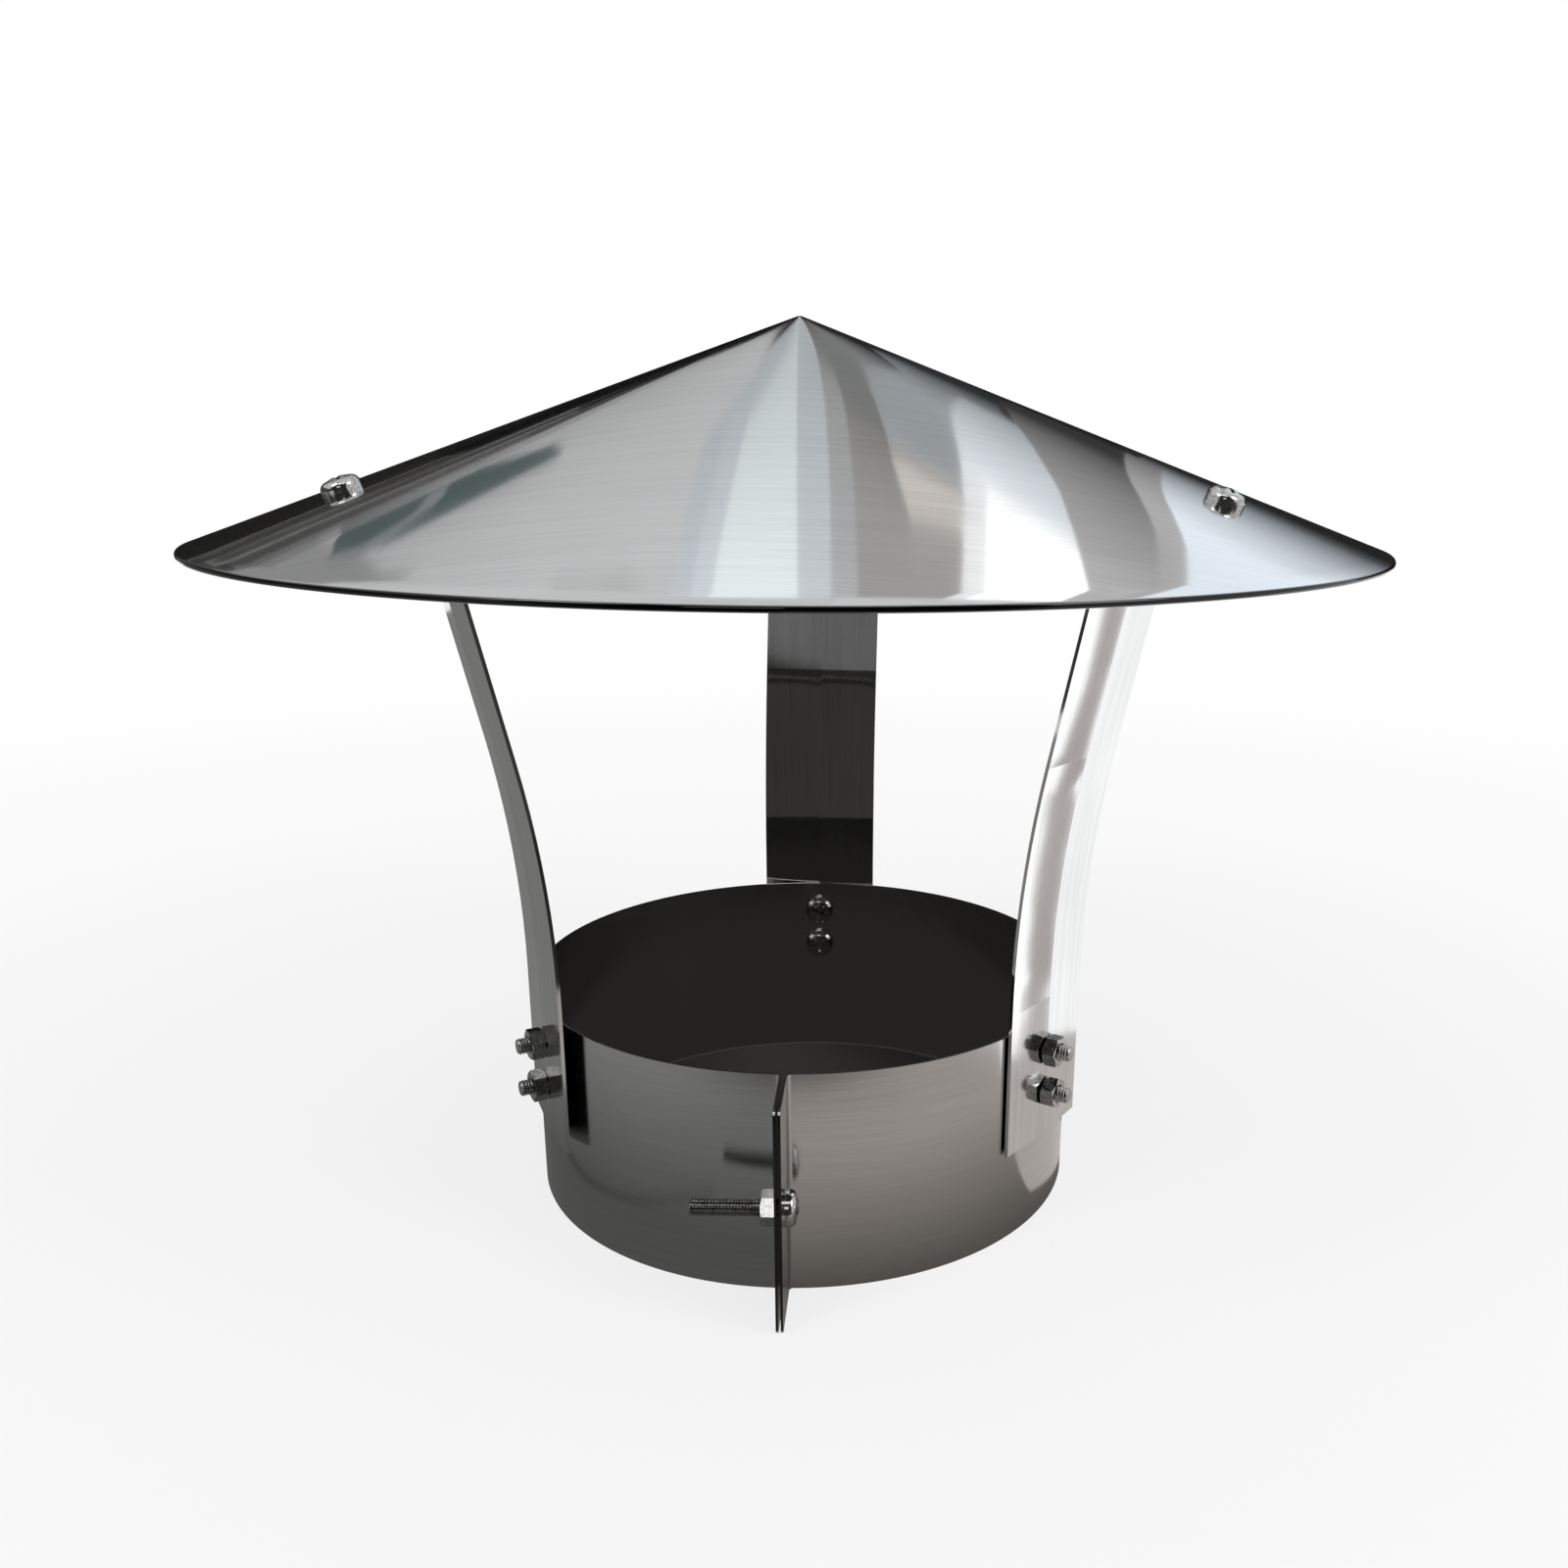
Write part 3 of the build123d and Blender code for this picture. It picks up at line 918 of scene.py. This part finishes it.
# The strip that the right strap mirrors along its middle: x and y in metres, half its width in millimetres
strip = [(0.212, -0.004, 10), (0.251, 0.013, 7), (0.274, 0.024, 6), (0.301, 0.041, 5.5), (0.337, 0.067, 5.5)]
strip += [(0.401, 0.119, 6), (0.434, 0.144, 8), (0.546, 0.203, 8), (0.80, 0.330, 11)]
stripEdges = [(x, y - half * mm) for x, y, half in strip] + [(x, y + half * mm) for x, y, half in strip]
count = len(strip)
stripFaces = [(i, i + 1, i + 1 + count, i + count) for i in range(count - 1)]
# A joint in the floor, seen as a thin dark line in the collar
floorLine = [(-0.127, -0.034), (-0.116, -0.052), (-0.105, -0.074)]
floorLine += [(-0.091, -0.099), (-0.073, -0.127), (-0.056, -0.146)]
lineWidth = 0.002

levelSet = {
    "floor left": {
        "height": 0.1,
        "fade": ((0.13, (0.12, 0.12, 0.118)), (0.25, (0.29, 0.29, 0.285))),
        "corners": rectangle(-1.5, -0.5, 0, 1.2),
    },
    "floor right": {
        "height": 0.1,
        "fade": ((0.10, (0.13, 0.12, 0.11)), (0.20, (0.51, 0.47, 0.44))),
        "corners": [(0, -0.5), (0.36, -0.5), (0.24, -0.05), (0.19, 0.0), (0.3, 0.6), (0, 0.6)],
    },
    "back floor left": {
        "height": 0.15,
        "fade": ((0.21, (0.235, 0.235, 0.232)), (0.32, (0.215, 0.215, 0.212))),
        "corners": [(-1.5, 0.0), (-0.21, 0.0), (-0.15, 0.15), (0, 0.21), (0, 1.2), (-1.5, 1.2)],
    },
    "far floor": {
        "height": 0.1,
        "colour": dusk,
        "strength": 0.05,
        "corners": rectangle(-1.6, -1.6, 1.6, -0.5),
    },
    "far floor light": {"height": 0.2, "corners": rectangle(-0.8, -0.95, -0.45, -0.5)},
    "warm floor": {
        "height": 0.2,
        "fade": ((0.10, (0.60, 0.555, 0.53)), (0.22, (0.64, 0.60, 0.58))),
        "corners": [(0.102, -0.045), (0.225, -0.055), (0.225, 0.06), (0.102, 0.02)],
    },
    "bright floor": {
        "height": 0.15,
        "colour": (0.98, 0.99, 1),
        "strength": 1.36,
        "corners": [(0.22, -0.06), (0.32, -0.06), (0.9, 0.0), (0.9, 0.8), (0.3, 0.6), (0.22, 0.2)],
    },
    "white floor": {
        "height": 0.2,
        "strength": 1.8,
        "corners": [(0.22, -0.06), (0.32, -0.06), (0.9, 0.0), (0.9, 0.36)]
        + [(0.543, 0.215), (0.415, 0.14), (0.30, 0.046), (0.22, 0.0)],
    },
    "beige strip": {
        "height": 0.3,
        "colour": (1, 0.91, 0.88),
        "strength": 0.52,
        "corners": stripEdges,
        "faces": stripFaces,
    },
    "front floor": {
        "height": 0.25,
        "colour": dusk,
        "strength": 0.03,
        "corners": [(-0.3, -0.5), (0.3, -0.5), (0.24, -0.262), (-0.24, -0.262)],
    },
    # a dark disc inside the collar, seen only in reflections, so that the inner walls mirror shade there
    "flue": {"height": 0.3, "colour": dusk, "strength": 0.03, "corners": arc((0, 0), 0.0999, 0, 350, 70)},
    "floor joint": {
        "height": 0.3,
        "strength": 0.02,
        "corners": floorLine + [(x - lineWidth, y - lineWidth) for x, y in reversed(floorLine)],
    },
    "top light": {"height": 1150, "strength": 3.0, "corners": rectangle(-0.35, -0.85, 0.35, -0.65)},
}
for name, panel in levelSet.items():
    levelPanel(name, **panel)
print("floor panels made")


def seenDirectly(tree, fade=None):
    # 1 for what the camera, a reflection or a clear part looks at, 0 for light on the object
    path = tree.nodes.new("ShaderNodeLightPath")
    camera = path.outputs["Is Camera Ray"]
    if fade is not None:
        camera = maths(tree, "MULTIPLY", camera, fade)
    seen = maths(tree, "MAXIMUM", camera, path.outputs["Is Glossy Ray"])
    return maths(tree, "MAXIMUM", seen, path.outputs["Is Transmission Ray"])


floorLook = {
    "radius": 9,
    "sides": 96,
    "colour": (0.82, 0.82, 0.82),
    "flue": 0.1003,  # inside the collar, as far as this, the floor is painted dark: painted shade, not faded to white
    "paintedInsideShade": (0.11, 0.10, 0.095),
    "white": (0.25, 1.3),  # the floor fades into the white background between these distances
    "whiteShare": (0.72, 1.0),
}


def makeFloor():
    bpy.ops.object.select_all(action="DESELECT")
    bpy.ops.mesh.primitive_circle_add(
        vertices=floorLook["sides"], radius=floorLook["radius"], fill_type="NGON"
    )
    floor = bpy.context.object
    floor.name = "floor"
    mat, tree, out = emptyMaterial("pale floor")
    matt = tree.nodes.new("ShaderNodeBsdfDiffuse")
    glow = tree.nodes.new("ShaderNodeEmission")
    mixer = tree.nodes.new("ShaderNodeMixShader")
    radius = placeOn(tree)["radius"]
    # painted shade: inside the collar the floor takes the dark colour and is left out of the white fade
    outside = maths(tree, "GREATER_THAN", radius, floorLook["flue"])
    colour = blendColour(tree, outside, floorLook["paintedInsideShade"], floorLook["colour"])
    tree.links.new(colour, matt.inputs["Color"])
    fade = spread(tree, radius, *floorLook["white"], *floorLook["whiteShare"], smooth=True)
    tree.links.new(maths(tree, "MULTIPLY", seenDirectly(tree, fade), outside), mixer.inputs[0])
    tree.links.new(matt.outputs[0], mixer.inputs[1])
    tree.links.new(glow.outputs[0], mixer.inputs[2])
    tree.links.new(mixer.outputs[0], out.inputs["Surface"])
    floor.data.materials.append(mat)


worldSet = {"light": 0.75, "background": 1.0}


def makeWorld():
    world = bpy.data.worlds.new("studio")
    bpy.context.scene.world = world
    world.use_nodes = True
    tree = world.node_tree
    sky = tree.nodes["Background"]
    sky.inputs["Color"].default_value = (*white, 1)
    strength = spread(tree, seenDirectly(tree), 0.0, 1.0, worldSet["light"], worldSet["background"])
    tree.links.new(strength, sky.inputs["Strength"])


lampSet = {
    "left": {"place": (-1.1, -1.0, 1.7), "power": 9.0, "size": 0.7},
    "right": {"place": (1.3, -0.7, 1.4), "power": 9.0, "size": 0.7},
}


def makeLamp(name, place, power, size):
    lamp = bpy.data.lights.new(name + " soft box", "AREA")
    lamp.energy = power
    lamp.size = size
    holder = bpy.data.objects.new(name + " soft box", lamp)
    holder.location = place
    holder.rotation_euler = (-holder.location).to_track_quat("-Z", "Y").to_euler()
    bpy.context.scene.collection.objects.link(holder)


makeFloor()
makeWorld()
for name, lamp in lampSet.items():
    makeLamp(name, **lamp)
bpy.context.scene.view_settings.view_transform = "Standard"
print("studio set")
